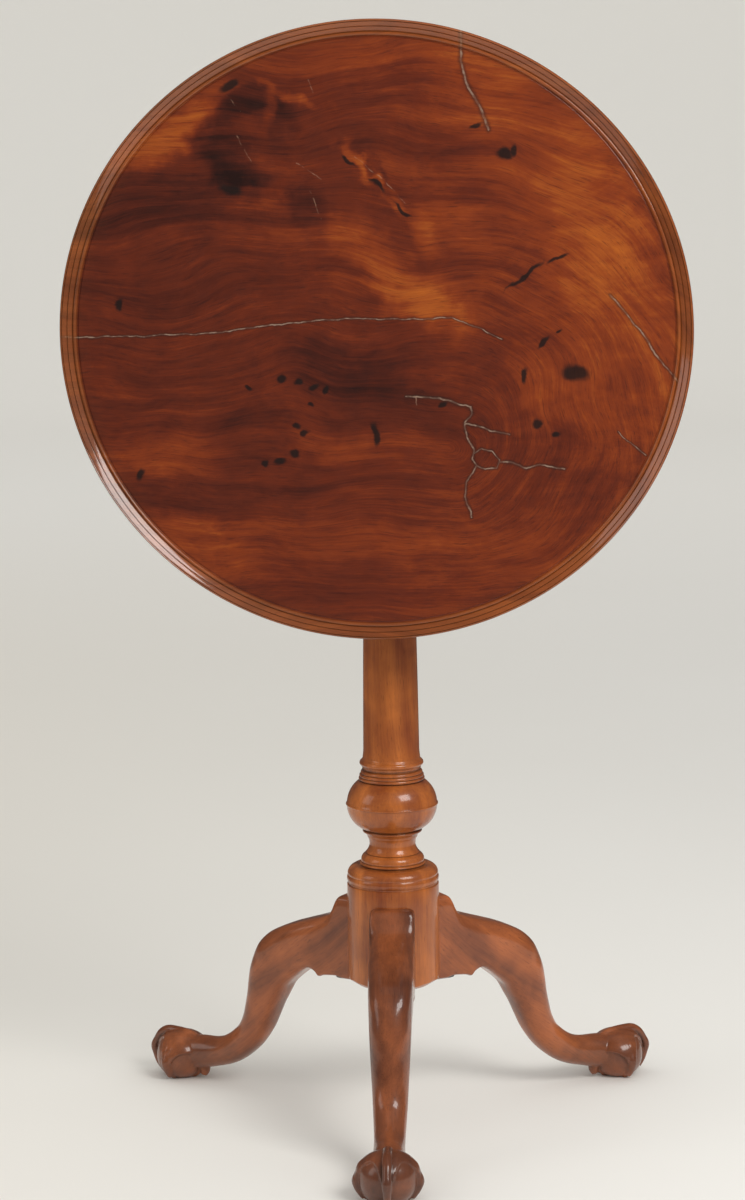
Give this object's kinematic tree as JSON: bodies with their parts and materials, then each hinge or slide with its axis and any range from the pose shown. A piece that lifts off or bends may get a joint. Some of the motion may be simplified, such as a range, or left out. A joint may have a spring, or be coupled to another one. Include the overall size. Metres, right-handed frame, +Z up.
{
  "type": "tilt top table",
  "caption": "Round dished top that tips up on a turning birdcage, over a turned pillar and three cabriole legs with claw-and-ball feet.",
  "frame": {"origin": "on the floor, at the middle of the object's bounding box with the top tipped up", "axes": "+Z up the pillar, +X along the tilt hinge and the grain of the top, -Y the way the tipped-up top faces"},
  "size_m": [0.5822, 0.4725, 1.0538],
  "materials": {
    "figured_mahogany": "polished spirit varnish",
    "turned_mahogany": "polished spirit varnish",
    "carved_mahogany": "polished spirit varnish",
    "plain_mahogany": "dry, unpolished",
    "aged_brass": "dull, handled",
    "wrought_iron": "forged and blackened",
    "old_screw_steel": "dull grey"
  },
  "bodies": {
    "stand": {"pillar": "turned_mahogany", "leg_front": "carved_mahogany", "leg_right": "carved_mahogany", "leg_left": "carved_mahogany", "iron_brace": "wrought_iron", "brace_nail_1": "old_screw_steel", "brace_nail_2": "old_screw_steel", "brace_nail_3": "old_screw_steel", "brace_nail_4": "old_screw_steel", "brace_nail_5": "old_screw_steel", "brace_nail_6": "old_screw_steel", "turning_collar": "plain_mahogany"},
    "birdcage": {"birdcage_upper_board": "plain_mahogany", "birdcage_lower_board": "plain_mahogany", "colonnette_front_left": "plain_mahogany", "colonnette_front_right": "plain_mahogany", "colonnette_back_left": "plain_mahogany", "colonnette_back_right": "plain_mahogany", "keeper_plate": "aged_brass", "keeper_screw_1": "old_screw_steel", "keeper_screw_2": "old_screw_steel"},
    "top": {"table_top": "figured_mahogany", "cleat_left": "plain_mahogany", "cleat_right": "plain_mahogany", "cleat_screw_1": "old_screw_steel", "cleat_screw_2": "old_screw_steel", "cleat_screw_3": "old_screw_steel", "cleat_screw_4": "old_screw_steel", "cleat_screw_5": "old_screw_steel", "cleat_screw_6": "old_screw_steel", "catch_case": "aged_brass", "catch_spring": "old_screw_steel", "catch_screw_1": "old_screw_steel", "catch_screw_2": "old_screw_steel", "catch_screw_3": "old_screw_steel", "catch_screw_4": "old_screw_steel"},
    "bolt": {"catch_bolt": "aged_brass", "catch_knob": "aged_brass"},
    "key": {"wedge_key": "plain_mahogany"}
  },
  "joints": [
    {"name": "birdcage_swivel", "type": "hinge", "parent": "stand", "child": "birdcage", "pos_m": [0, 0.0572, 0.6115], "axis": [0, 0, 1], "continuous": true},
    {"name": "top_tilt", "type": "hinge", "parent": "birdcage", "child": "top", "pos_m": [0, -0.0208, 0.693], "axis": [-1, 0, 0], "range_deg": [0, 90]},
    {"name": "bolt_slide", "type": "slide", "parent": "top", "child": "bolt", "axis": [0, 0, 1], "range_m": [0, 0.008], "stiffness_N_per_m": 250, "springref_m": -0.004, "deforming": ["catch_spring"]},
    {"name": "key_slide", "type": "slide", "parent": "stand", "child": "key", "axis": [1, 0, 0], "range_m": [0, 0.047]}
  ]
}
